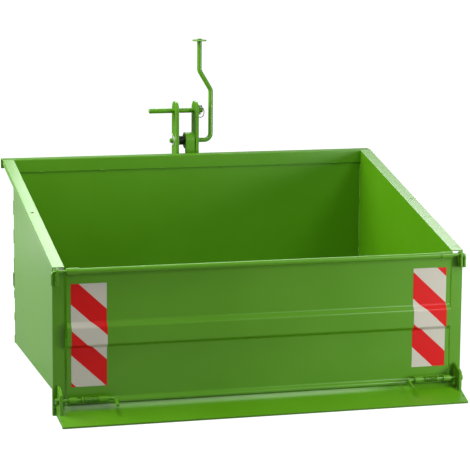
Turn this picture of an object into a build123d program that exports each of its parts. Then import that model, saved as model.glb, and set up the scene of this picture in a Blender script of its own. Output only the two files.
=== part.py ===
from build123d import *
import math
import os

# Tipping transport box for a tractor's three-point hitch. Millimetres.
# +X is to the right seen from the tailgate, +Y points to the tractor, +Z is up.
# While it is drawn, Y is 0 at the front face of the box and Z is 0 on the ground.

# ---- box shell ----
box_width = 1400.0          # over the side sheets
box_depth = 1006.0          # front face to the outside of the back wall
back_height = 710.0         # above the floor
front_height = 476.0        # above the floor
floor_z = 58.0              # top of the floor sheet
sheet = 3.0                 # folded sheet steel
side_flange = 40.0          # outward fold of the side walls
side_lip = 18.0             # turned-down edge of that fold
rear_flange = 45.0          # fold along the top of the back wall
rear_lip = 38.0
post_return = 18.0          # fold behind the front post
post_drop = 38.0            # how far the posts reach below the floor
post_top_gap = 16.0         # open end of the side fold above each post
tie_hole_radius = 6.0       # hole in each side fold
tie_hole_y = 480.0
rim_strip_height = 46.0     # doubling strip inside the back wall
rim_strip_thickness = 4.0
stiffener_z = 213.0         # above the floor
stiffener_height = 55.0
stiffener_depth = 30.0
rib_width = 40.0
rib_depth = 30.0
rib_sheet = 4.0
rib_places = (-480.0, -120.0, 120.0, 480.0)
rib_front = 70.0
rib_rear_gap = 30.0

# ---- scraper lip ----
lip_overhang = 29.0         # past each side sheet
lip_reach = 115.0
lip_fall = 46.0
lip_thickness = 8.0
lip_shelf = 60.0            # flat part under the floor
gusset_thickness = 6.0
gusset_start = 0.8          # share of the reach
gusset_gap = 1.5            # under the blade, filled by the weld

# ---- tailgate ----
gate_gap = 5.0              # to each side sheet
gate_rear_gap = 1.0         # to the front face of the box
gate_bottom = 4.0           # above the floor
bead_top = 285.0            # heights above the floor
bead_shoulder = 267.0
bead_sill = 206.0
bead_foot = 196.0
bead_depth = 14.0
hem_reach = 10.0            # forward fold at the bottom edge
hem_top = 20.0
hem_nose = 10.0
hinge_drop = 14.0           # below the front of the side walls
tube_radius = 10.0
tube_wall = 2.0
knuckle_radius = 12.5
knuckle_length = 44.0
knuckle_gap = 2.5           # knuckle to side sheet
sticker_width = 124.0
sticker_inset = 15.0        # to the tailgate's end
sticker_bottom = 60.0       # heights above the floor
sticker_top = 417.0
sticker_thickness = 0.5

# ---- hinge pins and their ears ----
hinge_pin_radius = 6.0
running_gap = 0.08          # radial, for every pin that turns or slides
hinge_ear_gap = 22.0        # to the side sheet
hinge_ear_thickness = 8.0
hinge_ear_half_depth = 13.0
hinge_ear_drop = 46.0
hinge_ear_rise = 8.0
pin_leg_gap = 41.0          # to the side sheet
pin_leg_length = 46.0
pin_bend_radius = 9.0
pin_reach = 30.0            # into the knuckle

# ---- gate bolts ----
bolt_y = -28.0
bolt_z = 19.0               # above the floor
bolt_radius = 6.0
bolt_tip_gap = 0.5          # bolt end to its ear at rest
latch_ear_gap = 16.0        # to the side sheet
latch_ear_thickness = 10.0
latch_ear_reach = 55.0
latch_ear_top = 68.0        # above the floor, at the post
latch_ear_nose = 45.0       # above the floor, at the front
latch_ear_land = 14.0       # level part of its top
latch_ear_step = 4.0
keeper_radius = 10.5
keeper_length = 11.0
guide_radius = 10.5
outer_guide_inset = (36.0, 8.0)     # from the side sheet
inner_guide_inset = (144.0, 112.0)
collar_inset = 60.0
collar_thickness = 6.0
collar_radius = 10.5
spring_radius = 9.5
bracket_thickness = 3.0
bracket_height = 26.0
handle_inset = 169.0
handle_length = 52.0
handle_drop = 15.0
handle_bend = 12.0

# ---- hitch frame ----
mast_clear = 9.0            # behind the fold of the back wall
mast_depth = 75.0
mast_gap = 68.0
mast_thickness = 12.0
top_pin_rise = 163.0        # above the back wall
mast_height = 460.0         # lower pins to top pin
lower_pin_span = 683.0      # shoulder to shoulder
frame_tube = 40.0           # height of sill and arms
frame_wall = 4.0
sill_half_width = 335.0
arm_x = 260.0
arm_width = 50.0
side_post_width = 50.0
side_post_depth = 50.0
beam_size = 60.0
link_plate_thickness = 12.0
link_plate_size = 84.0
lower_pin_radius = 11.0
lower_pin_length = 70.0
lower_pin_root = 12.0       # inside the beam
lower_root_radius = 10.0    # turned down where it is welded in
lower_seat = 45.5           # full-size length that takes the link's ball
lower_end_radius = 10.5     # turned down at the linch pin
top_pin_radius = 9.5
top_pin_left = 147.0
top_pin_right = 70.0
pin_chamfer = 2.0
tip_gap = 576.0             # tipping axis to the back wall
tip_pin_radius = 10.0
tip_pin_head = 5.0
bush_radius = 16.0
lug_thickness = 8.0
lug_gap = 1.0
lug_radius = 18.0
pad_length = 70.0
pad_back = 106.0            # to the back wall
pad_gap = 0.3

# ---- linch pins ----
linch_radius = 4.9
linch_hole_radius = 5.0
linch_tail = 8.0            # below the big pin
linch_head_radius = 7.0
linch_head_height = 10.0
ring_radius = 22.0
ring_wire = 1.6
ring_eye_radius = 3.3
lower_linch_place = 53.5    # from the shoulder
top_linch_inset = 10.0      # from the right end
top_linch_turn = 30.0       # degrees about Z
lower_ring_tilt = 35.0      # degrees, swung out to let the pin lift

# ---- catch and release lever ----
catch_rise = 45.0           # above the back wall
lever_radius = 9.0
lever_left = 62.0
lever_x = 102.5
lever_top_x = 56.0
lever_knee_low = 197.0      # heights above its own axis
lever_knee_high = 274.0
lever_top = 399.0
lever_bends = (25.0, 30.0, 30.0)
disc_radius = 27.5
disc_thickness = 5.0
disc_drop = 7.0             # below the lever's top
hub_radius = 32.0
hook_left = -4.0
hook_right = 33.0
foot_radius = 82.0
foot_front = 30.0           # in front of the lever's axis
foot_toe = 14.0
leg_width = 15.0
leg_taper = 4.0
catch_spring_left = -32.0
catch_spring_radius = 18.0
striker_radius = 7.0
striker_drop = 37.0         # below the top of the back wall
striker_left = -12.0
striker_right = 32.0
washer_radius = 17.0
washer_thickness = 3.0
washer_gap = 0.3
cotter_radius = 2.0
cotter_length = 34.0
cotter_eye = 4.0

half = box_width / 2
wall_in = half - sheet
flange_x = half + side_flange
lip_half_width = half + lip_overhang
hinge_z = front_height - hinge_drop
hinge_ear_x = half + hinge_ear_gap
pin_leg_x = half + pin_leg_gap
latch_ear_x = half + latch_ear_gap
outer_guide = [half - inset for inset in outer_guide_inset]
inner_guide = [half - inset for inset in inner_guide_inset]
collar_x = half - collar_inset
handle_x = half - handle_inset
mast_front = box_depth + rear_flange + mast_clear
top_pin_z = back_height + top_pin_rise
catch_z = back_height + catch_rise
striker_z = back_height - striker_drop
tip_y = box_depth - tip_gap
pad_y = box_depth - pad_back
slope = (back_height - front_height) / box_depth
hinge_y = -(gate_rear_gap + sheet + tube_radius)
gate_half = wall_in - gate_gap
gate_face = -(gate_rear_gap + sheet)
mast_y = mast_front + mast_depth / 2
catch_y = mast_y
mast_out = mast_gap / 2 + mast_thickness
rear_most = mast_front + mast_depth + beam_size
link_y = rear_most - beam_size / 2
link_z = floor_z + top_pin_z - mast_height
tip_z = frame_tube / 2
floor_under = floor_z - sheet
middle_y = (rear_most + (link_plate_size - beam_size) / 2 - lip_reach) / 2

nodes = {}


def keep(name, *solids):
    """Store the solids of one node."""
    nodes[name] = solids


def mirrored(part):
    return mirror(part, about=Plane.YZ)


def keep_pair(name, *solids):
    """Store a right-hand piece and its mirror image."""
    keep(name + "_right", *solids)
    keep(name + "_left", *[mirrored(s) for s in solids])


def block(x, y, z):
    """Box between two values on each axis."""
    size = [high - low for low, high in (x, y, z)]
    centre = [(high + low) / 2 for low, high in (x, y, z)]
    return Pos(*centre) * Box(*size)


def profile(points, x0, x1):
    """Outline in the YZ plane, extruded along X."""
    face = Plane.YZ.offset(x0) * make_face(Polyline(*points, close=True))
    return extrude(face, amount=x1 - x0, dir=(1, 0, 0))


def rod_x(x0, x1, y, z, radius):
    """Round bar along X."""
    return Pos((x0 + x1) / 2, y, z) * Rot(0, 90, 0) * Cylinder(radius, x1 - x0)


def rod_z(x, y, z0, z1, radius):
    return Pos(x, y, (z0 + z1) / 2) * Cylinder(radius, z1 - z0)


def tube_x(x0, x1, y, z, outer, inner):
    return rod_x(x0, x1, y, z, outer) - rod_x(x0 - 1, x1 + 1, y, z, inner)


def offset_path(points, distance):
    """Polyline moved to its left by a distance, with mitred corners."""
    moved = []
    for i, (a, b) in enumerate(points):
        steps = []
        for j in (i - 1, i):
            if 0 <= j < len(points) - 1:
                da = points[j + 1][0] - points[j][0]
                db = points[j + 1][1] - points[j][1]
                length = math.hypot(da, db)
                steps.append((-db / length, da / length))
        na = sum(s[0] for s in steps)
        nb = sum(s[1] for s in steps)
        scale = len(steps) * distance / (na * na + nb * nb)
        moved.append((a + na * scale, b + nb * scale))
    return moved


def folded(points, thickness, x0, x1):
    """Folded sheet: the path is one face, the other lies to its left."""
    outline = list(points) + list(reversed(offset_path(points, thickness)))
    return profile(outline, x0, x1)


def hollow(x, y, z, wall, along):
    """Rectangular tube; along is 0, 1 or 2."""
    outer = [x, y, z]
    inner = [(low + wall, high - wall) for low, high in outer]
    low, high = outer[along]
    inner[along] = (low - 1, high + 1)
    return block(*outer) - block(*inner)


# ---- box ----

def side_top(y):
    return floor_z + front_height + slope * y


def box_shell():
    keep("floor_sheet", block((-wall_in, wall_in), (0, box_depth - sheet), (floor_under, floor_z)))

    rim = floor_z + back_height
    back_face = box_depth - sheet
    wall = block((-half, half), (back_face, box_depth), (floor_under, rim - sheet))
    flange = block((-flange_x, flange_x), (back_face, box_depth + rear_flange), (rim - sheet, rim))
    lip_face = box_depth + rear_flange
    lip = block((-flange_x, flange_x), (lip_face - sheet, lip_face), (rim - rear_lip, rim))
    keep("back_wall", wall + flange + lip)
    keep("back_rim_strip", block((-wall_in, wall_in), (back_face - rim_strip_thickness, back_face),
                                 (rim - sheet - rim_strip_height, rim - sheet)))

    ends = (0, back_face)
    wall = profile([(0, floor_under), (ends[1], floor_under), (ends[1], side_top(ends[1])),
                    (0, side_top(0))], wall_in, half)
    fold = profile([(0, side_top(0) - sheet), (ends[1], side_top(ends[1]) - sheet),
                    (ends[1], side_top(ends[1])), (0, side_top(0))], wall_in, flange_x)
    lip = profile([(0, side_top(0) - side_lip), (ends[1], side_top(ends[1]) - side_lip),
                   (ends[1], side_top(ends[1])), (0, side_top(0))], flange_x - sheet, flange_x)
    post = (floor_z - post_drop, side_top(0) - post_top_gap)
    front = block((wall_in, flange_x), (0, sheet), post)
    back = block((flange_x - sheet, flange_x), (0, post_return), post)
    hole = rod_z(half + side_flange / 2, tie_hole_y, floor_z, floor_z + back_height, tie_hole_radius)
    keep_pair("side_wall", wall + fold + lip + front + back - hole)

    z0 = floor_z + stiffener_z
    z1 = z0 + stiffener_height
    rear = box_depth + stiffener_depth
    channel = block((-half, half), (box_depth, rear), (z0, z1))
    inside = block((-half - 1, half + 1), (box_depth, rear - sheet), (z0 + sheet, z1 - sheet))
    keep("back_stiffener", channel - inside)

    ribs = []
    for x in rib_places:
        outer = block((x - rib_width / 2, x + rib_width / 2), (rib_front, box_depth - rib_rear_gap),
                      (floor_under - rib_depth, floor_under))
        inner = block((x - rib_width / 2 + rib_sheet, x + rib_width / 2 - rib_sheet),
                      (rib_front - 1, box_depth), (floor_under - rib_depth + rib_sheet, floor_under + 1))
        ribs.append(outer - inner)
    keep("floor_ribs", *ribs)

    lugs = []
    for x in (-arm_x, arm_x):
        for side in (-1, 1):
            near = x + side * (arm_width / 2 + lug_gap)
            far = near + side * lug_thickness
            x0, x1 = sorted((near, far))
            plate = profile([(tip_y - lug_radius, tip_z), (tip_y + lug_radius, tip_z),
                             (tip_y + 2 * lug_radius, floor_under),
                             (tip_y - 2 * lug_radius, floor_under)], x0, x1)
            plate += rod_x(x0, x1, tip_y, tip_z, lug_radius)
            lugs.append(plate - rod_x(x0 - 1, x1 + 1, tip_y, tip_z, tip_pin_radius + running_gap))
    keep("tip_lugs", *lugs)


def lip_surface(y):
    """Height of the lip's upper face in front of the box."""
    return floor_under + y * lip_fall / lip_reach


def scraper_lip():
    path = [(lip_shelf, floor_under), (0, floor_under), (-lip_reach, floor_under - lip_fall)]
    blade = folded(path, lip_thickness, -lip_half_width, lip_half_width)
    beside = block((wall_in - 1, flange_x), (0, lip_shelf + 1), (0, floor_z))
    keep("scraper_lip", blade - beside - mirrored(beside))
    under = lip_thickness + gusset_gap
    low = floor_z - post_drop
    front = -lip_reach * gusset_start
    plate = [(0, floor_under - under), (front, lip_surface(front) - under), (0, low)]
    x0 = lip_half_width - gusset_thickness
    right = profile(plate, x0, lip_half_width)
    keep("lip_gussets", right, mirrored(right))


def hinge_ears():
    z = floor_z + hinge_z
    x1 = hinge_ear_x + hinge_ear_thickness
    back = hinge_y - hinge_ear_half_depth
    plate = block((hinge_ear_x, x1), (back, 0), (z - hinge_ear_drop, z))
    plate += rod_x(hinge_ear_x, x1, hinge_y, z, hinge_ear_half_depth)
    plate += block((hinge_ear_x, x1), (hinge_y, 0), (z, z + hinge_ear_rise))
    plate -= rod_x(hinge_ear_x - 1, x1 + 1, hinge_y, z, hinge_pin_radius + running_gap)
    keep_pair("hinge_ear", plate)


def latch_ears():
    x1 = latch_ear_x + latch_ear_thickness
    front = -latch_ear_reach
    outline = [(0, floor_under), (front, lip_surface(front)), (front, floor_z + latch_ear_nose),
               (-latch_ear_land, floor_z + latch_ear_top - latch_ear_step),
               (0, floor_z + latch_ear_top)]
    hole = rod_x(latch_ear_x - 1, x1 + keeper_length + 1, bolt_y, floor_z + bolt_z,
                 bolt_radius + running_gap)
    ear = profile(outline, latch_ear_x, x1) - hole
    keep_pair("latch_ear", ear)
    bush = rod_x(x1, x1 + keeper_length, bolt_y, floor_z + bolt_z, keeper_radius) - hole
    keep("keeper_bushes", bush, mirrored(bush))


def striker():
    y = box_depth + rear_flange + striker_radius
    keep("striker_bar", rod_x(striker_left, striker_right, y, floor_z + striker_z, striker_radius))


# ---- tailgate ----

def gate_path():
    """Front face of the tailgate sheet, from the bottom edge upwards, as (Y, Z)."""
    nose = gate_face - hem_reach
    bead = gate_face - bead_depth
    return [(nose, floor_z + gate_bottom), (nose, floor_z + hem_nose), (gate_face, floor_z + hem_top),
            (gate_face, floor_z + bead_foot), (bead, floor_z + bead_sill),
            (bead, floor_z + bead_shoulder), (gate_face, floor_z + bead_top),
            (gate_face, floor_z + hinge_z + tube_radius / 2)]


def clipped(path, low, high):
    """The stretch of a rising path between two heights."""
    def at(z):
        for (y0, z0), (y1, z1) in zip(path, path[1:]):
            if z0 <= z <= z1 and z1 > z0:
                return (y0 + (y1 - y0) * (z - z0) / (z1 - z0), z)
    return [at(low)] + [p for p in path if low < p[1] < high] + [at(high)]


def tailgate():
    path = gate_path()
    front = list(reversed(path))
    sheet_solid = folded(front, sheet, -gate_half, gate_half)
    keep("tailgate_sheet", sheet_solid)
    knuckle_out = wall_in - knuckle_gap
    knuckle_in = knuckle_out - knuckle_length
    z = floor_z + hinge_z
    keep("tailgate_top_tube", tube_x(-knuckle_in, knuckle_in, hinge_y, z, tube_radius,
                                     tube_radius - tube_wall))
    knuckle = tube_x(knuckle_in, knuckle_out, hinge_y, z, knuckle_radius, hinge_pin_radius + running_gap)
    behind = block((knuckle_in - 1, knuckle_out + 1), (gate_face, 0),
                   (z - 2 * knuckle_radius, z + 2 * knuckle_radius))
    keep_pair("hinge_knuckle", knuckle - behind)

    area = clipped(path, floor_z + sticker_bottom, floor_z + sticker_top)
    outer = gate_half - sticker_inset
    sticker = folded(area, sticker_thickness, outer - sticker_width, outer)
    keep_pair("warning_sticker", sticker)

    z = floor_z + bolt_z
    nose = gate_face - hem_reach
    plate = block((inner_guide[0], outer_guide[1]), (nose - bracket_thickness, nose),
                  (z + guide_radius - bracket_height, z + guide_radius))
    keep_pair("latch_bracket", plate)
    guides = []
    for x0, x1 in (inner_guide, outer_guide):
        ring = tube_x(x0, x1, bolt_y, z, guide_radius, bolt_radius + running_gap)
        guides.append(ring - plate)
    keep_pair("latch_guides", *guides)


# ---- gate bolts ----

def gate_bolts():
    z = floor_z + bolt_z
    tip = latch_ear_x - bolt_tip_gap
    down = math.radians(handle_drop)
    end = (handle_x, bolt_y - handle_length * math.cos(down), z - handle_length * math.sin(down))
    path = FilletPolyline((tip, bolt_y, z), (handle_x, bolt_y, z), end, radius=handle_bend)
    start = Plane(origin=(tip, bolt_y, z), z_dir=(-1, 0, 0))
    keep_pair("gate_bolt", sweep(start * Circle(bolt_radius), path=path))
    keep_pair("bolt_collar", tube_x(collar_x, collar_x + collar_thickness, bolt_y, z, collar_radius,
                                    bolt_radius))
    keep_pair("bolt_spring", tube_x(inner_guide[1], collar_x, bolt_y, z, spring_radius,
                                    bolt_radius + 0.5))


def hinge_pins():
    z = floor_z + hinge_z
    start_x = wall_in - knuckle_gap - pin_reach
    path = FilletPolyline((start_x, hinge_y, z), (pin_leg_x, hinge_y, z),
                          (pin_leg_x, hinge_y, z - pin_leg_length), radius=pin_bend_radius)
    start = Plane(origin=(start_x, hinge_y, z), z_dir=(1, 0, 0))
    keep_pair("hinge_pin", sweep(start * Circle(hinge_pin_radius), path=path))


# ---- hitch frame ----

def mast_plate():
    top = floor_z + top_pin_z
    x0 = mast_gap / 2
    plate = block((x0, mast_out), (mast_front, mast_front + mast_depth), (frame_tube, top))
    plate += rod_x(x0, mast_out, mast_y, top, mast_depth / 2)
    plate -= rod_x(x0 - 1, mast_out + 1, mast_y, top, top_pin_radius + running_gap)
    return plate - rod_x(x0 - 1, mast_out + 1, catch_y, floor_z + catch_z, lever_radius + running_gap)


def hitch_frame():
    keep_pair("mast_plate", mast_plate())
    mast_back = mast_front + mast_depth
    keep("rear_sill", hollow((-sill_half_width, sill_half_width), (mast_front, mast_back),
                             (0, frame_tube), frame_wall, 0))
    beam_z = (link_z - beam_size / 2, link_z + beam_size / 2)
    plate_in = lower_pin_span / 2 - link_plate_thickness
    keep("link_beam", hollow((-plate_in, plate_in), (mast_back, mast_back + beam_size), beam_z,
                             frame_wall, 0))
    post_x = (sill_half_width - side_post_width, sill_half_width)
    post = hollow(post_x, (mast_back - side_post_depth, mast_back), (frame_tube, beam_z[1]),
                  frame_wall, 2)
    keep("frame_side_posts", post, mirrored(post))

    span = (plate_in, lower_pin_span / 2)
    size = link_plate_size / 2
    plate = block(span, (mast_back, link_y + size), (link_z - size, link_z + size))
    plate -= rod_x(span[0] - 1, span[1] + 1, link_y, link_z, lower_root_radius)
    keep("link_plates", plate, mirrored(plate))
    shoulder = lower_pin_span / 2
    tip = shoulder + lower_pin_length
    end = rod_x(shoulder, tip, link_y, link_z, lower_end_radius)
    pin = chamfer(end.faces().sort_by(Axis.X)[-1].edges(), pin_chamfer)
    pin += rod_x(shoulder, shoulder + lower_seat, link_y, link_z, lower_pin_radius)
    pin += rod_x(plate_in - lower_pin_root, shoulder, link_y, link_z, lower_root_radius)
    x = shoulder + lower_linch_place
    pin -= rod_z(x, link_y, link_z - 2 * lower_pin_radius, link_z + 2 * lower_pin_radius,
                 linch_hole_radius)
    keep_pair("lower_link_pin", pin)


def tip_arms():
    arm_in = (arm_x - arm_width / 2, arm_x + arm_width / 2)
    arm = hollow(arm_in, (tip_y, mast_front), (0, frame_tube), frame_wall, 1)
    nose = rod_x(arm_in[0], arm_in[1], tip_y, tip_z, frame_tube / 2)
    bore = rod_x(arm_in[0] - 1, arm_in[1] + 1, tip_y, tip_z, bush_radius)
    keep_pair("tip_arm", arm + nose - bore)
    bush = tube_x(*arm_in, tip_y, tip_z, bush_radius, tip_pin_radius)
    keep("tip_bushes", bush, mirrored(bush))
    out = arm_width / 2 + lug_gap + lug_thickness + lug_gap
    pin = rod_x(arm_x - out, arm_x + out, tip_y, tip_z, tip_pin_radius)
    for side in (-1, 1):
        x0, x1 = sorted((arm_x + side * out, arm_x + side * (out + tip_pin_head)))
        pin += rod_x(x0, x1, tip_y, tip_z, tip_pin_radius + 4)
    keep("tip_pins", pin, mirrored(pin))
    pad = block(arm_in, (pad_y - pad_length / 2, pad_y + pad_length / 2),
                (frame_tube, floor_under - pad_gap))
    keep("rest_pads", pad, mirrored(pad))


# ---- linch pins ----

def linch_pin(shaft_radius):
    """Linch pin through a shaft along X at the origin, and its ring hanging down."""
    head_low = shaft_radius + 1
    head_top = head_low + linch_head_height
    eye_z = head_low + linch_head_height / 2
    pin = rod_z(0, 0, -shaft_radius - linch_tail, head_low, linch_radius)
    pin += rod_z(0, 0, head_low, head_top, linch_head_radius)
    pin -= Pos(0, 0, eye_z) * Rot(90, 0, 0) * Cylinder(ring_eye_radius, 4 * linch_head_radius)
    ring = Pos(0, 0, eye_z - ring_radius) * Rot(0, 90, 0) * Torus(ring_radius, ring_wire)
    return pin, ring, eye_z


def top_link_pin():
    z = floor_z + top_pin_z
    pin = rod_x(-top_pin_left, top_pin_right, mast_y, z, top_pin_radius)
    pin = chamfer(pin.faces().sort_by(Axis.X)[0].edges() + pin.faces().sort_by(Axis.X)[-1].edges(),
                  pin_chamfer)
    x = top_pin_right - top_linch_inset
    pin -= rod_z(x, mast_y, z - 2 * top_pin_radius, z + 2 * top_pin_radius, linch_hole_radius)
    keep("top_link_pin", pin)
    linch, ring, _ = linch_pin(top_pin_radius)
    place = Pos(x, mast_y, z) * Rot(0, 0, top_linch_turn)
    keep("top_linch_pin", place * linch)
    keep("top_linch_ring", place * ring)


def lower_linch_pins():
    linch, ring, eye_z = linch_pin(lower_pin_radius)
    place = Pos(lower_pin_span / 2 + lower_linch_place, link_y, link_z)
    swung = Pos(0, 0, eye_z) * Rot(0, -lower_ring_tilt, 0) * Pos(0, 0, -eye_z) * ring
    keep_pair("lower_linch_pin", place * linch)
    keep_pair("lower_linch_ring", place * swung)


# ---- catch and lever ----

def catch_lever():
    z = floor_z + catch_z
    at = [(-lever_left, z), (lever_x, z), (lever_x, z + lever_knee_low),
          (lever_top_x, z + lever_knee_high), (lever_top_x, z + lever_top)]
    path = FilletPolyline(*[(x, catch_y, h) for x, h in at], radius=list(lever_bends))
    start = Plane(origin=(-lever_left, catch_y, z), z_dir=(1, 0, 0))
    rod = sweep(start * Circle(lever_radius), path=path)
    washer_in = -mast_out - washer_gap
    washer_out = washer_in - washer_thickness
    cotter_x = washer_out - cotter_radius - 1
    rod -= rod_z(cotter_x, catch_y, z - 2 * lever_radius, z + 2 * lever_radius, cotter_radius)
    keep("lever_rod", rod)
    disc = Pos(lever_top_x, catch_y, z + lever_top - disc_drop) * Cylinder(disc_radius,
                                                                           disc_thickness)
    keep("lever_disc", disc - rod_z(lever_top_x, catch_y, z, z + lever_top, lever_radius))
    keep("lever_washer", tube_x(washer_out, washer_in, catch_y, z, washer_radius, lever_radius))
    cotter = rod_z(cotter_x, catch_y, z - cotter_length / 2, z + cotter_length / 2, cotter_radius)
    eye = Pos(cotter_x, catch_y, z + cotter_length / 2 + cotter_eye) * Rot(0, 90, 0) * Torus(
        cotter_eye, cotter_radius)
    keep("lever_cotter", cotter + eye)

    foot_z = -math.sqrt(foot_radius ** 2 - foot_front ** 2)
    back = foot_front - leg_width
    back_z = -math.sqrt(foot_radius ** 2 - back ** 2)
    leg = [(catch_y - hub_radius, z), (catch_y - hub_radius, z + foot_z + foot_toe),
           (catch_y - foot_front, z + foot_z), (catch_y - back, z + back_z),
           (catch_y - back + leg_taper, z + foot_z / 2), (catch_y, z - hub_radius / 2), (catch_y, z)]
    hook = profile(leg, hook_left, hook_right) + rod_x(hook_left, hook_right, catch_y, z, hub_radius)
    keep("catch_hook", hook - rod_x(hook_left - 1, hook_right + 1, catch_y, z, lever_radius))
    keep("catch_spring", tube_x(catch_spring_left, hook_left, catch_y, z, catch_spring_radius,
                                lever_radius + 0.5))


box_shell()
scraper_lip()
hinge_ears()
latch_ears()
striker()
tailgate()
gate_bolts()
hinge_pins()
hitch_frame()
tip_arms()
top_link_pin()
lower_linch_pins()
catch_lever()

os.makedirs("parts", exist_ok=True)
for name, solids in nodes.items():
    moved = [Pos(0, -middle_y, 0) * s for s in solids]
    export_step(moved[0] if len(moved) == 1 else Compound(children=moved), f"parts/{name}.step")
print(len(nodes), "nodes, shift", -middle_y)
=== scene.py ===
"""Tipping transport box for a tractor hitch: paint, rounded edges, springs, stickers on the tailgate, and welds on
the box, the tailgate and the fixed frame.
"""

import math

import bmesh
import bpy
import numpy as np
from bpy.props import (
    FloatProperty,
    FloatVectorProperty,
    IntProperty,
    PointerProperty,
)
from mathutils import Matrix, Vector


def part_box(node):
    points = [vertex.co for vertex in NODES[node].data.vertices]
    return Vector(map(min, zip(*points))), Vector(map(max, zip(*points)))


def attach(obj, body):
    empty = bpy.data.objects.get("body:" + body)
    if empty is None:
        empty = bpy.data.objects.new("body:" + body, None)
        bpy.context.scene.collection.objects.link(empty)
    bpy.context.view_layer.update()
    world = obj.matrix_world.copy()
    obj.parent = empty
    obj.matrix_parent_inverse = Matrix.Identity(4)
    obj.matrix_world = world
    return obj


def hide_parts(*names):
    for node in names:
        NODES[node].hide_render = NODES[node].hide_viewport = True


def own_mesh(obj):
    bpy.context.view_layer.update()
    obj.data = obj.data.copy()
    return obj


bl_info = {
    "name": "Tipping transport box",
    "version": (1, 0, 0),
    "blender": (4, 5, 0),
    "location": "3D View > Sidebar > Box",
    "description": "Dresses the tipping box in rounded sheet metal, paint, stickers, springs and welds",
    "category": "Object",
}

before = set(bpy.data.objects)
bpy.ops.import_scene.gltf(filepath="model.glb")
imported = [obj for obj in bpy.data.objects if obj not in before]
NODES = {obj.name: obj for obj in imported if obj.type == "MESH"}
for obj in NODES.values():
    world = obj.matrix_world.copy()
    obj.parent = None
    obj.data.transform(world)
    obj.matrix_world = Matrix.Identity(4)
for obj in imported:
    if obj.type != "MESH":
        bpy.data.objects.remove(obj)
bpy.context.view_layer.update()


# ---------------------------------------------------------------- settings

class PaintSettings(bpy.types.PropertyGroup):
    green: FloatVectorProperty(
        name="Green", description="Colour of the sprayed coat", subtype="COLOR",
        size=3, min=0, max=1, default=(0.078, 0.262, 0.002))
    green_thin: FloatVectorProperty(
        name="Thin green", description="Colour where the coat is thinner", subtype="COLOR",
        size=3, min=0, max=1, default=(0.090, 0.288, 0.004))
    roughness: FloatProperty(
        name="Roughness", description="Roughness of the coat", min=0, max=1, default=0.31)
    peel: FloatProperty(
        name="Peel", description="Strength of the orange-peel texture", min=0, max=1, default=0.10)


class SheetSettings(bpy.types.PropertyGroup):
    fold: FloatProperty(
        name="Fold", description="Outer radius of a folded edge", subtype="DISTANCE",
        unit="LENGTH", default=0.0019)
    crease: FloatProperty(
        name="Crease", description="Width of the round in a pressed bead", subtype="DISTANCE",
        unit="LENGTH", default=0.0042)
    rim: FloatProperty(
        name="Rim", description="Round on a cut sheet edge", subtype="DISTANCE",
        unit="LENGTH", default=0.00035)
    plate_rim: FloatProperty(
        name="Plate rim", description="Round on the edge of a thick plate or bar", subtype="DISTANCE",
        unit="LENGTH", default=0.0011)


class StickerSettings(bpy.types.PropertyGroup):
    red: FloatVectorProperty(
        name="Red", description="Colour of the red stripes", subtype="COLOR",
        size=3, min=0, max=1, default=(0.62, 0.001, 0.001))
    white: FloatVectorProperty(
        name="White", description="Colour of the white stripes", subtype="COLOR",
        size=3, min=0, max=1, default=(0.54, 0.52, 0.44))
    pitch: FloatProperty(
        name="Pitch", description="Height of one red and one white stripe", subtype="DISTANCE",
        unit="LENGTH", default=0.190)
    fall: FloatProperty(
        name="Fall", description="Drop of a stripe for each unit to the right", default=0.93)


class SpringSettings(bpy.types.PropertyGroup):
    bolt_wire: FloatProperty(
        name="Bolt spring wire", description="Wire radius of a bolt's spring", subtype="DISTANCE",
        unit="LENGTH", default=0.0018)
    bolt_turns: FloatProperty(
        name="Bolt spring turns", description="Turns of a bolt's spring", default=6.5)
    catch_wire: FloatProperty(
        name="Catch spring wire", description="Wire radius of the catch's spring", subtype="DISTANCE",
        unit="LENGTH", default=0.0026)
    catch_turns: FloatProperty(
        name="Catch spring turns", description="Turns of the catch's spring", default=4.5)


class WeldSettings(bpy.types.PropertyGroup):
    width: FloatProperty(
        name="Width", description="Width of a weld on thin sheet", subtype="DISTANCE",
        unit="LENGTH", default=0.0046)
    heavy_width: FloatProperty(
        name="Heavy width", description="Width of a weld on thick plate", subtype="DISTANCE",
        unit="LENGTH", default=0.0075)
    stitch: FloatProperty(
        name="Stitch", description="Length of one stitch of a broken weld", subtype="DISTANCE",
        unit="LENGTH", default=0.045)
    seed: IntProperty(name="Seed", description="Seed of the ripple's size", default=4)


class StageSettings(bpy.types.PropertyGroup):
    eye: FloatVectorProperty(
        name="Camera place", description="Where the camera stands", subtype="XYZ", unit="LENGTH",
        size=3, default=(-1.9818, -7.2392, 1.8043))
    yaw: FloatProperty(
        name="Yaw", description="Camera's turn to the right", subtype="ANGLE",
        default=math.radians(15.689))
    pitch: FloatProperty(
        name="Pitch", description="Camera's tilt down", subtype="ANGLE", default=math.radians(9.666))
    roll: FloatProperty(
        name="Roll", description="Camera's roll", subtype="ANGLE", default=math.radians(0.421))
    lens: FloatProperty(
        name="Lens", description="Focal length in millimetres", default=157.23)
    sky: FloatProperty(name="Sky", description="Strength of the light from all round", default=0.13)
    backdrop: FloatProperty(
        name="Backdrop", description="Brightness of the white backdrop and floor", default=1.75)


# ---------------------------------------------------------------- mesh helpers

def link(name, mesh, body, material, slot, *stands_for):
    """Put a finished mesh in the scene, at the origin, riding on its body."""
    piece = bpy.data.objects.new(name, mesh)
    bpy.context.scene.collection.objects.link(piece)
    if material is not None:
        mesh.materials.clear()
        mesh.materials.append(material)
    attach(piece, body)
    if stands_for:
        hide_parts(*stands_for)
    return piece


def across(face, edge):
    """How far a face reaches away from one of its edges."""
    a, b = edge.verts
    side = face.normal.cross(b.co - a.co).normalized()
    return max(abs((v.co - a.co).dot(side)) for v in face.verts)


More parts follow.
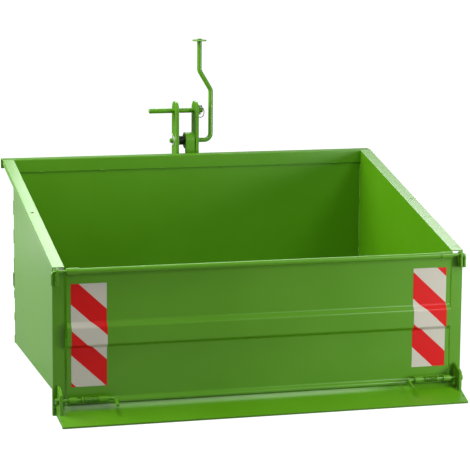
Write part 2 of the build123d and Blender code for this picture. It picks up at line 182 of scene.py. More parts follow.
def merged(node):
    """A CAD node's mesh as a bmesh with its doubles merged and its flat faces whole."""
    bm = bmesh.new()
    bm.from_mesh(NODES[node].data)
    bmesh.ops.remove_doubles(bm, verts=bm.verts, dist=2e-6)
    bmesh.ops.dissolve_limit(bm, angle_limit=math.radians(0.4), verts=bm.verts, edges=bm.edges,
                             use_dissolve_boundaries=False)
    bm.normal_update()
    return bm


def round_edges(bm, rim, fold=0.0, crease=0.0):
    """Round pressed creases, then folds between wide faces, then every remaining sharp edge."""
    def two_sided(edge):
        return len(edge.link_faces) == 2

    if crease:
        soft = [e for e in bm.edges if two_sided(e) and e.calc_length() > 0.2
                and math.radians(12) < e.calc_face_angle(0) < math.radians(75)]
        if soft:
            bmesh.ops.bevel(bm, geom=soft, offset=crease, offset_type="OFFSET", segments=4,
                            profile=0.5, affect="EDGES", clamp_overlap=False)
            bm.normal_update()
    if fold:
        bent = [e for e in bm.edges if two_sided(e) and e.is_convex and e.calc_length() > 0.1
                and e.calc_face_angle(0) > math.radians(70)
                and min(across(f, e) for f in e.link_faces) > 3 * fold]
        if bent:
            bmesh.ops.bevel(bm, geom=bent, offset=fold, offset_type="OFFSET", segments=4,
                            profile=0.5, affect="EDGES", clamp_overlap=False)
            bm.normal_update()
    sharp = [e for e in bm.edges if two_sided(e) and e.is_convex
             and e.calc_face_angle(0) > math.radians(40)
             and min(across(f, e) for f in e.link_faces) > 2.1 * rim]
    if sharp:
        bmesh.ops.bevel(bm, geom=sharp, offset=rim, offset_type="OFFSET", segments=2,
                        profile=0.5, affect="EDGES", clamp_overlap=False)


def finished(bm, name, sharp=math.radians(32)):
    """Turn a bmesh into a smooth mesh that keeps its hard edges."""
    for face in bm.faces:
        face.smooth = True
    mesh = bpy.data.meshes.new(name)
    bm.to_mesh(mesh)
    bm.free()
    mesh.set_sharp_from_angle(angle=sharp)
    return evened(mesh)


def evened(mesh):
    """The mesh again, with its wide faces shaded flat up to the rounds beside them."""
    holder = bpy.data.objects.new("holder", mesh)
    bpy.context.scene.collection.objects.link(holder)
    weigh = holder.modifiers.new("Weigh", "WEIGHTED_NORMAL")
    weigh.keep_sharp = True
    bpy.context.view_layer.update()
    even = bpy.data.meshes.new_from_object(holder.evaluated_get(bpy.context.evaluated_depsgraph_get()))
    even.name = mesh.name
    bpy.data.objects.remove(holder)
    return even


def rounded(node, body, material, slot, rim, fold=0.0, crease=0.0):
    """A CAD node again, with the edges that its real sheet, plate or bar has."""
    bm = merged(node)
    round_edges(bm, rim, fold, crease)
    return link(node + "_made", finished(bm, node + "_made"), body, material, slot, node)


def wire(name, points, radius, body, material, slot, *stands_for, order=4):
    """A bent wire along a smooth line."""
    curve = bpy.data.curves.new(name, "CURVE")
    curve.dimensions = "3D"
    spline = curve.splines.new("NURBS")
    spline.points.add(len(points) - 1)
    for point, place in zip(spline.points, points):
        point.co = (*place, 1)
    spline.order_u = order
    spline.use_endpoint_u = True
    spline.resolution_u = 12
    curve.bevel_depth = radius
    curve.bevel_resolution = 4
    curve.use_fill_caps = True
    return plain_mesh(name, curve, [], body, material, slot, *stands_for)


def plain_mesh(name, data, inputs, body, material, slot, *stands_for, tree=None, place=None):
    """Evaluate a curve, or a mesh with a node tree on it, and keep the result as a plain mesh."""
    maker = bpy.data.objects.new(name + "_maker", data)
    bpy.context.scene.collection.objects.link(maker)
    if tree is not None:
        modifier = maker.modifiers.new("Made", "NODES")
        modifier.node_group = tree
        sockets = {s.name: s.identifier for s in tree.interface.items_tree
                   if s.item_type == "SOCKET" and s.in_out == "INPUT"}
        for label, value in inputs:
            modifier[sockets[label]] = value
    bpy.context.view_layer.update()
    graph = bpy.context.evaluated_depsgraph_get()
    mesh = bpy.data.meshes.new_from_object(maker.evaluated_get(graph))
    if not mesh.polygons:
        raise RuntimeError(f"{name} came out empty")
    mesh.name = name
    if place is not None:
        mesh.transform(place)
    for polygon in mesh.polygons:
        polygon.use_smooth = True
    maker.modifiers.clear()
    bpy.data.objects.remove(maker)
    return link(name, mesh, body, material, slot, *stands_for)


# ---------------------------------------------------------------- geometry node trees

def tree_with(name, inputs, takes_geometry):
    """An empty geometry tree with named inputs and one geometry output."""
    tree = bpy.data.node_groups.new(name, "GeometryNodeTree")
    if takes_geometry:
        tree.interface.new_socket("Path", in_out="INPUT", socket_type="NodeSocketGeometry")
    for label, kind, default in inputs:
        socket = tree.interface.new_socket(label, in_out="INPUT", socket_type=kind)
        if default is not None:
            socket.default_value = default
    tree.interface.new_socket("Geometry", in_out="OUTPUT", socket_type="NodeSocketGeometry")
    return tree, tree.nodes.new("NodeGroupInput"), tree.nodes.new("NodeGroupOutput")


def coil_tree():
    """A round-wire coil that stands on the origin and rises along Z."""
    tree, given, out = tree_with("Coil", [
        ("Turns", "NodeSocketFloat", 5.0), ("Radius", "NodeSocketFloat", 0.01),
        ("Height", "NodeSocketFloat", 0.05), ("Wire", "NodeSocketFloat", 0.001),
        ("Finish", "NodeSocketMaterial", None)], False)
    new, join = tree.nodes.new, tree.links.new
    spiral = new("GeometryNodeCurveSpiral")
    spiral.inputs["Resolution"].default_value = 28
    join(given.outputs["Turns"], spiral.inputs["Rotations"])
    join(given.outputs["Radius"], spiral.inputs["Start Radius"])
    join(given.outputs["Radius"], spiral.inputs["End Radius"])
    join(given.outputs["Height"], spiral.inputs["Height"])
    section = new("GeometryNodeCurvePrimitiveCircle")
    section.inputs["Resolution"].default_value = 12
    join(given.outputs["Wire"], section.inputs["Radius"])
    sweep = new("GeometryNodeCurveToMesh")
    sweep.inputs["Fill Caps"].default_value = True
    join(spiral.outputs["Curve"], sweep.inputs["Curve"])
    join(section.outputs["Curve"], sweep.inputs["Profile Curve"])
    ending(tree, sweep.outputs["Mesh"], given, out)
    return tree


def ending(tree, geometry, given, out):
    """Realize Instances and Set Material, which every tree ends in."""
    real = tree.nodes.new("GeometryNodeRealizeInstances")
    finish = tree.nodes.new("GeometryNodeSetMaterial")
    tree.links.new(geometry, real.inputs["Geometry"])
    tree.links.new(real.outputs["Geometry"], finish.inputs["Geometry"])
    tree.links.new(given.outputs["Finish"], finish.inputs["Material"])
    tree.links.new(finish.outputs["Geometry"], out.inputs["Geometry"])


def weld_tree():
    """Overlapping flattened drops of weld metal along each edge of a path mesh."""
    tree, given, out = tree_with("Weld bead", [
        ("Width", "NodeSocketFloat", 0.005), ("Seed", "NodeSocketInt", 1),
        ("Finish", "NodeSocketMaterial", None)], True)
    new, join = tree.nodes.new, tree.links.new
    curve = new("GeometryNodeMeshToCurve")
    join(given.outputs["Path"], curve.inputs["Mesh"])
    spacing = new("ShaderNodeMath")
    spacing.operation = "MULTIPLY"
    spacing.inputs[1].default_value = 0.55
    join(given.outputs["Width"], spacing.inputs[0])
    points = new("GeometryNodeCurveToPoints")
    points.mode = "LENGTH"
    join(curve.outputs["Curve"], points.inputs["Curve"])
    join(spacing.outputs["Value"], points.inputs["Length"])
    drop = new("GeometryNodeMeshUVSphere")
    drop.inputs["Radius"].default_value = 0.5
    drop.inputs["Segments"].default_value = 8
    drop.inputs["Rings"].default_value = 4
    smooth = new("GeometryNodeSetShadeSmooth")
    join(drop.outputs["Mesh"], smooth.inputs["Geometry"])
    spread = new("FunctionNodeRandomValue")
    spread.data_type = "FLOAT_VECTOR"
    spread.inputs["Min"].default_value = (0.86, 0.86, 0.70)
    spread.inputs["Max"].default_value = (1.08, 1.08, 0.95)
    join(given.outputs["Seed"], spread.inputs["Seed"])
    size = new("ShaderNodeVectorMath")
    size.operation = "SCALE"
    join(spread.outputs["Value"], size.inputs["Vector"])
    join(given.outputs["Width"], size.inputs["Scale"])
    place = new("GeometryNodeInstanceOnPoints")
    join(points.outputs["Points"], place.inputs["Points"])
    join(smooth.outputs["Geometry"], place.inputs["Instance"])
    join(points.outputs["Rotation"], place.inputs["Rotation"])
    join(size.outputs["Vector"], place.inputs["Scale"])
    ending(tree, place.outputs["Instances"], given, out)
    return tree


# ---------------------------------------------------------------- shared shader groups

def shader_group(name, inputs, outputs):
    """An empty shader node group with named sockets."""
    group = bpy.data.node_groups.new(name, "ShaderNodeTree")
    for label, kind, default in inputs:
        socket = group.interface.new_socket(label, in_out="INPUT", socket_type=kind)
        if default is not None:
            socket.default_value = default
    for label, kind in outputs:
        group.interface.new_socket(label, in_out="OUTPUT", socket_type=kind)
    return group, group.nodes.new("NodeGroupInput"), group.nodes.new("NodeGroupOutput")


def noise(group, coordinate, scale, detail=2.0, stretch=None):
    """A noise texture, stretched along an axis if asked."""
    texture = group.nodes.new("ShaderNodeTexNoise")
    texture.inputs["Scale"].default_value = scale
    texture.inputs["Detail"].default_value = detail
    if stretch is not None:
        turn = group.nodes.new("ShaderNodeMapping")
        turn.inputs["Scale"].default_value = stretch
        group.links.new(coordinate, turn.inputs["Vector"])
        coordinate = turn.outputs["Vector"]
    group.links.new(coordinate, texture.inputs["Vector"])
    return texture.outputs["Fac"]


def remap(group, value, low, high, to_low, to_high):
    """A value's range moved to another range."""
    node = group.nodes.new("ShaderNodeMapRange")
    for label, number in (("From Min", low), ("From Max", high), ("To Min", to_low), ("To Max", to_high)):
        node.inputs[label].default_value = number
    group.links.new(value, node.inputs["Value"])
    return node.outputs["Result"]


def blend_colour(group, factor, one, other, mode="MIX"):
    """Two colours mixed by a factor."""
    node = group.nodes.new("ShaderNodeMix")
    node.data_type = "RGBA"
    node.blend_type = mode
    group.links.new(factor, node.inputs["Factor"])
    for place, colour in ((6, one), (7, other)):
        if isinstance(colour, bpy.types.NodeSocket):
            group.links.new(colour, node.inputs[place])
        else:
            node.inputs[place].default_value = (*colour, 1)
    return node.outputs[2]


def combine(group, operation, one, other):
    """Arithmetic on two values, either of which may be a number."""
    node = group.nodes.new("ShaderNodeMath")
    node.operation = operation
    for place, value in enumerate((one, other)):
        if isinstance(value, bpy.types.NodeSocket):
            group.links.new(value, node.inputs[place])
        else:
            node.inputs[place].default_value = value
    return node.outputs["Value"]


def sprayed_coat_group():
    """Colour, roughness and height of a sprayed coat: cloudy thickness, dry overspray and orange peel."""
    group, given, out = shader_group("Sprayed coat", [
        ("Vector", "NodeSocketVector", None), ("Full", "NodeSocketColor", None),
        ("Thin", "NodeSocketColor", None), ("Roughness", "NodeSocketFloat", 0.3)],
        [("Colour", "NodeSocketColor"), ("Roughness", "NodeSocketFloat"), ("Height", "NodeSocketFloat")])
    place = given.outputs["Vector"]
    clouds = remap(group, noise(group, place, 3.5, 3.0), 0.3, 0.7, 0.0, 1.0)
    overspray = remap(group, noise(group, place, 420.0, 1.0), 0.62, 0.74, 0.0, 0.35)
    rubbed = remap(group, noise(group, place, 9.0, 4.0, (1, 1, 6)), 0.66, 0.78, 0.0, 1.0)
    tone = combine(group, "MAXIMUM", combine(group, "MULTIPLY", clouds, 0.75), overspray)
    colour = blend_colour(group, tone, given.outputs["Full"], given.outputs["Thin"])
    group.links.new(colour, out.inputs["Colour"])
    rough = combine(group, "ADD", given.outputs["Roughness"],
                    combine(group, "ADD", combine(group, "MULTIPLY", clouds, 0.05),
                            combine(group, "MULTIPLY", combine(group, "ADD", rubbed, overspray), 0.10)))
    group.links.new(rough, out.inputs["Roughness"])
    peel = combine(group, "ADD", combine(group, "MULTIPLY", noise(group, place, 150.0, 1.0), 0.7),
                   combine(group, "MULTIPLY", noise(group, place, 420.0, 1.0), 0.3))
    group.links.new(peel, out.inputs["Height"])
    return group


def handled_metal_group():
    """Tone, roughness and height of bare or plated steel that has been handled."""
    group, given, out = shader_group("Handled metal", [
        ("Vector", "NodeSocketVector", None), ("Colour", "NodeSocketColor", None),
        ("Stained", "NodeSocketColor", None), ("Roughness", "NodeSocketFloat", 0.3)],
        [("Colour", "NodeSocketColor"), ("Roughness", "NodeSocketFloat"), ("Height", "NodeSocketFloat")])
    place = given.outputs["Vector"]
    stain = remap(group, noise(group, place, 90.0, 4.0), 0.45, 0.70, 0.0, 0.8)
    spangle = group.nodes.new("ShaderNodeTexVoronoi")
    spangle.inputs["Scale"].default_value = 260.0
    group.links.new(place, spangle.inputs["Vector"])
    crystal = remap(group, spangle.outputs["Distance"], 0.0, 1.0, 0.0, 0.25)
    group.links.new(blend_colour(group, combine(group, "ADD", stain, crystal),
                                 given.outputs["Colour"], given.outputs["Stained"]), out.inputs["Colour"])
    group.links.new(combine(group, "ADD", given.outputs["Roughness"], combine(group, "MULTIPLY", stain, 0.25)),
                    out.inputs["Roughness"])
    group.links.new(noise(group, place, 900.0, 2.0), out.inputs["Height"])
    return group


# ---------------------------------------------------------------- materials

def surface(name):
    """A new material with its Principled shader and Object coordinates."""
    material = bpy.data.materials.new(name)
    material.use_nodes = True
    tree = material.node_tree
    shader = tree.nodes["Principled BSDF"]
    place = tree.nodes.new("ShaderNodeTexCoord").outputs["Object"]
    return material, tree, shader, place


def bumped(tree, shader, height, strength, distance):
    """Feed a height to the shader's normal."""
    bump = tree.nodes.new("ShaderNodeBump")
    bump.inputs["Strength"].default_value = strength
    bump.inputs["Distance"].default_value = distance
    tree.links.new(height, bump.inputs["Height"])
    tree.links.new(bump.outputs["Normal"], shader.inputs["Normal"])


def painted(name, coat, full, thin, roughness, peel):
    material, tree, shader, place = surface(name)
    group = tree.nodes.new("ShaderNodeGroup")
    group.node_tree = coat
    tree.links.new(place, group.inputs["Vector"])
    group.inputs["Full"].default_value = (*full, 1)
    group.inputs["Thin"].default_value = (*thin, 1)
    group.inputs["Roughness"].default_value = roughness
    tree.links.new(group.outputs["Colour"], shader.inputs["Base Color"])
    tree.links.new(group.outputs["Roughness"], shader.inputs["Roughness"])
    shader.inputs["IOR"].default_value = 1.5
    shader.inputs["Coat Weight"].default_value = 0.15
    shader.inputs["Coat Roughness"].default_value = 0.16
    bumped(tree, shader, group.outputs["Height"], peel, 0.0006)
    return material


def metal(name, handled, colour, stained, roughness, metallic=1.0):
    material, tree, shader, place = surface(name)
    group = tree.nodes.new("ShaderNodeGroup")
    group.node_tree = handled
    tree.links.new(place, group.inputs["Vector"])
    group.inputs["Colour"].default_value = (*colour, 1)
    group.inputs["Stained"].default_value = (*stained, 1)
    group.inputs["Roughness"].default_value = roughness
    tree.links.new(group.outputs["Colour"], shader.inputs["Base Color"])
    tree.links.new(group.outputs["Roughness"], shader.inputs["Roughness"])
    shader.inputs["Metallic"].default_value = metallic
    bumped(tree, shader, group.outputs["Height"], 0.15, 0.0002)
    return material


def sticker_film(settings):
    """Red and white film whose stripes follow the sticker's own map, with a fine cell pattern."""
    material, tree, shader, place = surface("Warning film")
    mapped = tree.nodes.new("ShaderNodeUVMap")
    mapped.uv_map = "Stripes"
    parts = tree.nodes.new("ShaderNodeSeparateXYZ")
    tree.links.new(mapped.outputs["UV"], parts.inputs["Vector"])
    turn = combine(tree, "FRACT", parts.outputs["X"], 0.0)
    edge = tree.nodes.new("ShaderNodeMapRange")
    edge.interpolation_type = "SMOOTHSTEP"
    for label, number in (("From Min", 0.248), ("From Max", 0.252), ("To Min", 1.0), ("To Max", 0.0)):
        edge.inputs[label].default_value = number
    away = combine(tree, "ABSOLUTE", combine(tree, "SUBTRACT", turn, 0.25), 0.0)
    tree.links.new(away, edge.inputs["Value"])
    cells = tree.nodes.new("ShaderNodeTexVoronoi")
    cells.feature = "DISTANCE_TO_EDGE"
    cells.inputs["Scale"].default_value = 420.0
    cells.inputs["Randomness"].default_value = 0.25
    tree.links.new(place, cells.inputs["Vector"])
    grid = remap(tree, cells.outputs["Distance"], 0.0, 0.08, 0.88, 1.0)
    stripes = blend_colour(tree, edge.outputs["Result"], settings.white, settings.red)
    tone = tree.nodes.new("ShaderNodeVectorMath")
    tone.operation = "SCALE"
    tree.links.new(stripes, tone.inputs["Vector"])
    tree.links.new(grid, tone.inputs["Scale"])
    tree.links.new(tone.outputs["Vector"], shader.inputs["Base Color"])
    shader.inputs["Roughness"].default_value = 0.38
    shader.inputs["Specular IOR Level"].default_value = 0.35
    bumped(tree, shader, grid, 0.12, 0.0002)
    return material


def stock(name):
    """A material made by the first operator."""
    material = bpy.data.materials.get(name)
    if material is None:
        raise RuntimeError(f"mix the finishes first: there is no {name}")
    return material


# ---------------------------------------------------------------- operators

class BOX_OT_finishes(bpy.types.Operator):
    """Mix the paint, plating, spring steel and film"""
    bl_idname = "tipbox.finishes"
    bl_label = "Mix finishes"

    def execute(self, context):
        paint = context.scene.tipbox_paint
        coat, handled = sprayed_coat_group(), handled_metal_group()
        painted("Green coat", coat, paint.green, paint.green_thin, paint.roughness, paint.peel)
        painted("Weld coat", coat, paint.green, paint.green_thin, paint.roughness - 0.08, paint.peel)
        metal("Zinc plate", handled, (0.86, 0.87, 0.88), (0.60, 0.60, 0.58), 0.36, 0.8)
        metal("Ring wire", handled, (0.16, 0.15, 0.14), (0.09, 0.06, 0.04), 0.34)
        metal("Black spring", handled, (0.018, 0.019, 0.020), (0.035, 0.030, 0.026), 0.32, 0.4)
        sticker_film(context.scene.tipbox_sticker)
        return {"FINISHED"}


class BOX_OT_box_shell(bpy.types.Operator):
    """Round the folds and edges of the box, its lip, ears, ribs and lugs"""
    bl_idname = "tipbox.box_shell"
    bl_label = "Box shell"

    def execute(self, context):
        s, coat = context.scene.tipbox_sheet, stock("Green coat")
        for node in ("side_wall_left", "side_wall_right", "back_wall"):
            rounded(node, "box", coat, "box_paint", s.rim, s.fold, s.crease)
        rounded("scraper_lip", "box", coat, "lip_paint", s.plate_rim, 0.0, s.crease)
        rounded("lip_gussets", "box", coat, "lip_paint", s.rim)
        for node in ("floor_sheet", "back_rim_strip", "back_stiffener", "floor_ribs"):
            rounded(node, "box", coat, "box_paint", s.rim)
        for node in ("tip_lugs", "hinge_ear_left", "hinge_ear_right", "latch_ear_left",
                     "latch_ear_right", "keeper_bushes", "striker_bar"):
            rounded(node, "box", coat, "box_paint", s.plate_rim)
        return {"FINISHED"}


class BOX_OT_tailgate(bpy.types.Operator):
    """Round the tailgate's bead, hem, tube, knuckles and bolt guides"""
    bl_idname = "tipbox.tailgate"
    bl_label = "Tailgate"

    def execute(self, context):
        s, coat = context.scene.tipbox_sheet, stock("Green coat")
        rounded("tailgate_sheet", "tailgate", coat, "gate_paint", s.rim, 0.0, s.crease)
        rounded("tailgate_top_tube", "tailgate", coat, "gate_paint", s.rim)
        for side in ("left", "right"):
            rounded("hinge_knuckle_" + side, "tailgate", coat, "gate_paint", s.plate_rim)
            rounded("latch_bracket_" + side, "tailgate", coat, "gate_paint", s.rim)
            rounded("latch_guides_" + side, "tailgate", coat, "latch_paint", s.plate_rim)
            rounded("gate_bolt_" + side, "gate_bolt_" + side, coat, "latch_paint", s.plate_rim)
            rounded("bolt_collar_" + side, "gate_bolt_" + side, coat, "latch_paint", s.rim)
            rounded("hinge_pin_" + side, "hinge_pin_" + side, coat, "pin_steel", s.plate_rim)
        return {"FINISHED"}


class BOX_OT_stickers(bpy.types.Operator):
    """Lay the striped warning film over the tailgate's bead"""
    bl_idname = "tipbox.stickers"
    bl_label = "Warning stickers"

    def execute(self, context):
        settings, film = context.scene.tipbox_sticker, stock("Warning film")
        for side, red_top in (("left", -0.6135), ("right", 0.6830)):
            node = "warning_sticker_" + side
            bm = merged(node)
            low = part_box(node)[0]
            rows = sorted({round(v.co.z, 5) for v in bm.verts})
            fronts = [min(v.co.y for v in bm.verts if abs(v.co.z - z) < 2e-5) for z in rows]
            climb = np.concatenate([[0.0], np.cumsum(np.hypot(np.diff(rows), np.diff(fronts)))])
            folds = [e for e in bm.edges if e.calc_length() > 0.1
                     and 0.2 < e.calc_face_angle(0) < 1.2]
            bmesh.ops.bevel(bm, geom=folds, offset=context.scene.tipbox_sheet.crease, segments=4,
                            profile=0.5, affect="EDGES", clamp_overlap=False)
            layer = bm.loops.layers.uv.new("Stripes")
            for face in bm.faces:
                for loop in face.loops:
                    along = float(np.interp(loop.vert.co.z, rows, climb))
                    place = along + settings.fall * loop.vert.co.x
                    loop[layer].uv = ((place - red_top) / settings.pitch + 0.5, along / 0.1)
            mesh = finished(bm, node + "_film")
            link(node + "_film", mesh, "tailgate", film, "sticker_film", node)
            if low.z < 0:
                raise RuntimeError("a sticker lies under the ground")
        return {"FINISHED"}


class BOX_OT_hitch_frame(bpy.types.Operator):
    """Round the mast, sill, posts, beam, arms and pins of the hitch frame"""
    bl_idname = "tipbox.hitch_frame"
    bl_label = "Hitch frame"

    def execute(self, context):
        s, coat, zinc = context.scene.tipbox_sheet, stock("Green coat"), stock("Zinc plate")
        for node in ("mast_plate_left", "mast_plate_right", "frame_side_posts", "rear_sill",
                     "link_beam", "link_plates", "tip_arm_left", "tip_arm_right", "tip_bushes",
                     "rest_pads"):
            rounded(node, "hitch_frame", coat, "frame_paint", s.plate_rim)
        for side in ("left", "right"):
            rounded("lower_link_pin_" + side, "hitch_frame", coat, "pin_steel", s.rim)
            rounded("lower_linch_pin_" + side, "lower_linch_" + side, zinc, "zinc_steel", s.rim)
            rounded("lower_linch_ring_" + side, "lower_ring_" + side, stock("Ring wire"), "ring_wire",
                    s.rim)
        rounded("tip_pins", "hitch_frame", zinc, "zinc_steel", s.plate_rim)
        rounded("top_link_pin", "top_link_pin", coat, "pin_steel", s.rim)
        rounded("top_linch_pin", "top_link_pin", zinc, "zinc_steel", s.rim)
        rounded("top_linch_ring", "top_ring", stock("Ring wire"), "ring_wire", s.rim)
        return {"FINISHED"}


class BOX_OT_catch(bpy.types.Operator):
    """Round the release lever and its catch, and bend the split pin"""
    bl_idname = "tipbox.catch"
    bl_label = "Catch and lever"

    def execute(self, context):
        s, coat, zinc = context.scene.tipbox_sheet, stock("Green coat"), stock("Zinc plate")
        for node in ("lever_rod", "lever_disc", "catch_hook"):
            rounded(node, "catch_lever", coat, "pin_steel", s.plate_rim)
        rounded("lever_washer", "catch_lever", zinc, "zinc_steel", s.rim)
        low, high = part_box("lever_cotter")
        centre = (low + high) / 2
        eye = high.z - 0.006
        loop = [(0.0, 0.0011, eye - 0.006), (0.0, 0.0052, eye - 0.002), (0.0, 0.0052, eye + 0.0045),
                (0.0, 0.0, eye + 0.0068), (0.0, -0.0052, eye + 0.0045), (0.0, -0.0052, eye - 0.002),
                (0.0, -0.0011, eye - 0.006)]
        down = [(0.0, 0.0011, centre.z), (0.0, 0.0011, low.z + 0.008), (0.0, 0.0068, low.z + 0.0005)]
        path = ([(x, y, z) for x, y, z in reversed(down)] + loop
                + [(x, -y, z) for x, y, z in down])
        wire("split_pin", [(centre.x + x, centre.y + y, z) for x, y, z in path], 0.00105,
             "catch_lever", zinc, "zinc_steel", "lever_cotter")
        return {"FINISHED"}


class BOX_OT_springs(bpy.types.Operator):
    """Wind the bolt springs and the catch spring"""
    bl_idname = "tipbox.springs"
    bl_label = "Springs"

    def execute(self, context):
        s, tree = context.scene.tipbox_spring, coil_tree()
        jobs = [("bolt_spring_left", "tailgate", "Green coat", "latch_paint", s.bolt_wire, s.bolt_turns),
                ("bolt_spring_right", "tailgate", "Green coat", "latch_paint", s.bolt_wire, s.bolt_turns),
                ("catch_spring", "catch_lever", "Black spring", "black_spring", s.catch_wire,
                 s.catch_turns)]
        for node, body, finish, slot, wire_radius, turns in jobs:
            low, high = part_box(node)
            length = high.x - low.x - 2 * wire_radius
            radius = (high.z - low.z) / 2 - wire_radius
            middle = (low + high) / 2
            place = (Matrix.Translation((low.x + wire_radius, middle.y, middle.z))
                     @ Matrix.Rotation(math.radians(90), 4, "Y"))
            piece = plain_mesh(node + "_coil", bpy.data.meshes.new(node + "_seat"),
                               [("Turns", turns), ("Radius", radius), ("Height", length),
                                ("Wire", wire_radius), ("Finish", stock(finish))],
                               body, stock(finish), slot, node, tree=tree, place=place)
            if node.startswith("bolt"):
                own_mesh(piece)
        return {"FINISHED"}


def stitches(a, b, length, gap):
    """Short runs along a line, one stitch and one gap at a time."""
    a, b = Vector(a), Vector(b)
    whole = (b - a).length
    count = max(1, round((whole + gap) / (length + gap)))
    step = (whole + gap) / count
    along = (b - a).normalized()
    return [(a + along * (i * step), a + along * min(whole, i * step + step - gap))
            for i in range(count)]


def outline(low, high, z):
    """The four sides of a rectangle at one height."""
    corners = [(low.x, low.y, z), (high.x, low.y, z), (high.x, high.y, z), (low.x, high.y, z)]
    return [(corners[i], corners[(i + 1) % 4]) for i in range(4)]


